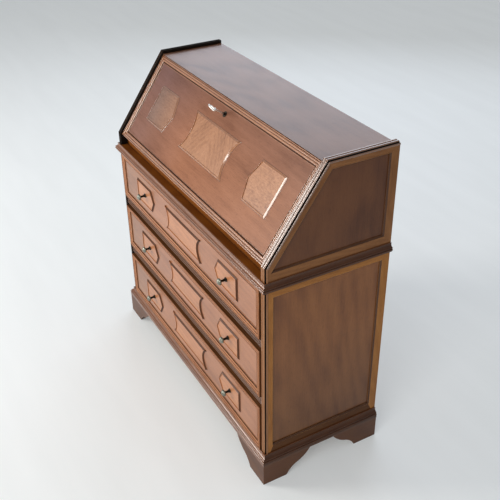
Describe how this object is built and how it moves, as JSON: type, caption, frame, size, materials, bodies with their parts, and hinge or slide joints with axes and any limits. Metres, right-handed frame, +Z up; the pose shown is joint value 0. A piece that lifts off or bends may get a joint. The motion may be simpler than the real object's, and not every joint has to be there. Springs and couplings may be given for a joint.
{
  "type": "secretary chest",
  "caption": "Slant-front writing chest in dark wood: full-width drawers with raised shaped panels under a hinged sloping flap, on bracket feet.",
  "frame": {"origin": "on the floor, under the middle of the whole piece with its knobs", "axes": "+X along the front to the viewer's right when facing it, +Y from the front to the back, +Z up"},
  "size_m": [1.028, 0.4304, 1.02],
  "materials": {
    "side_panel_wood": "dark stained, waxed",
    "frame_wood": "brown stained, waxed",
    "moulding_wood": "dark stained, polished",
    "foot_wood": "brown stained, waxed",
    "ledge_wood": "dark stained, waxed",
    "top_wood": "brown stained, polished",
    "inner_wood": "plain, unpolished",
    "field_wood": "red-brown veneer, polished",
    "border_wood": "orange-brown, polished",
    "burl_wood": "figured veneer, polished",
    "bead_wood": "red-brown, polished",
    "knob_metal": "aged, dark",
    "steel": "bright",
    "brass": "aged"
  },
  "bodies": {
    "case": {"lower_side_panels": "side_panel_wood", "upper_side_panels": "side_panel_wood", "lower_right_side_frame": "frame_wood", "lower_left_side_frame": "frame_wood", "upper_right_side_frame": "frame_wood", "upper_left_side_frame": "frame_wood", "edge_reeds": "frame_wood", "waist_moulding": "moulding_wood", "base_moulding": "moulding_wood", "drawer_rails": "moulding_wood", "bracket_feet": "foot_wood", "ledge_board": "ledge_wood", "top_board": "top_wood", "foot_blocks": "inner_wood", "lower_back_panel": "inner_wood", "upper_back_panel": "inner_wood", "drawer_runners": "inner_wood", "desk_board": "inner_wood", "bottom_board": "inner_wood", "lower_top_board": "inner_wood", "pigeonhole_shelf": "inner_wood", "pigeonhole_dividers": "inner_wood", "strike_plate": "steel", "back_screws": "steel", "hinge_case_leaves": "brass", "hinge_pins": "brass"},
    "flap": {"flap_board": "field_wood", "flap_border": "border_wood", "flap_plates": "burl_wood", "flap_beads": "bead_wood", "lock_case": "steel", "escutcheon": "brass", "hinge_flap_leaves": "brass"},
    "key": {"key": "steel"},
    "bolt": {"lock_bolt": "steel"},
    "left_small": {"left_small_drawer": "inner_wood", "left_small_knob": "knob_metal"},
    "right_small": {"right_small_drawer": "inner_wood", "right_small_knob": "knob_metal"},
    "low_drawer": {"drawer_low_front": "field_wood", "drawer_low_border": "border_wood", "drawer_low_plates": "burl_wood", "drawer_low_beads": "bead_wood", "drawer_low_box": "inner_wood", "drawer_low_bottom": "inner_wood", "drawer_low_knobs": "knob_metal"},
    "middle_drawer": {"drawer_middle_front": "field_wood", "drawer_middle_border": "border_wood", "drawer_middle_plates": "burl_wood", "drawer_middle_beads": "bead_wood", "drawer_middle_box": "inner_wood", "drawer_middle_bottom": "inner_wood", "drawer_middle_knobs": "knob_metal"},
    "high_drawer": {"drawer_high_front": "field_wood", "drawer_high_border": "border_wood", "drawer_high_plates": "burl_wood", "drawer_high_beads": "bead_wood", "drawer_high_box": "inner_wood", "drawer_high_bottom": "inner_wood", "drawer_high_knobs": "knob_metal"}
  },
  "joints": [
    {"name": "flap_hinge", "type": "hinge", "parent": "case", "child": "flap", "pos_m": [0, -0.16104, 0.7463], "axis": [1, 0, 0], "range_deg": [0, 125]},
    {"name": "key_turn", "type": "hinge", "parent": "flap", "child": "key", "pos_m": [0, -0.02568, 0.96752], "axis": [0, -0.8192, 0.5736], "range_deg": [0, 180]},
    {"name": "bolt_slide", "type": "slide", "parent": "flap", "child": "bolt", "axis": [0, 0.5736, 0.8192], "range_m": [0, 0.008]},
    {"name": "low_drawer_slide", "type": "slide", "parent": "case", "child": "low_drawer", "axis": [0, -1, 0], "range_m": [0, 0.27]},
    {"name": "middle_drawer_slide", "type": "slide", "parent": "case", "child": "middle_drawer", "axis": [0, -1, 0], "range_m": [0, 0.27]},
    {"name": "high_drawer_slide", "type": "slide", "parent": "case", "child": "high_drawer", "axis": [0, -1, 0], "range_m": [0, 0.27]},
    {"name": "left_small_slide", "type": "slide", "parent": "case", "child": "left_small", "axis": [0, -1, 0], "range_m": [0, 0.12]},
    {"name": "right_small_slide", "type": "slide", "parent": "case", "child": "right_small", "axis": [0, -1, 0], "range_m": [0, 0.12]}
  ],
  "couplings": [
    {"joint": "key_turn", "follows": "bolt_slide", "rad_per_m": 392.6}
  ]
}
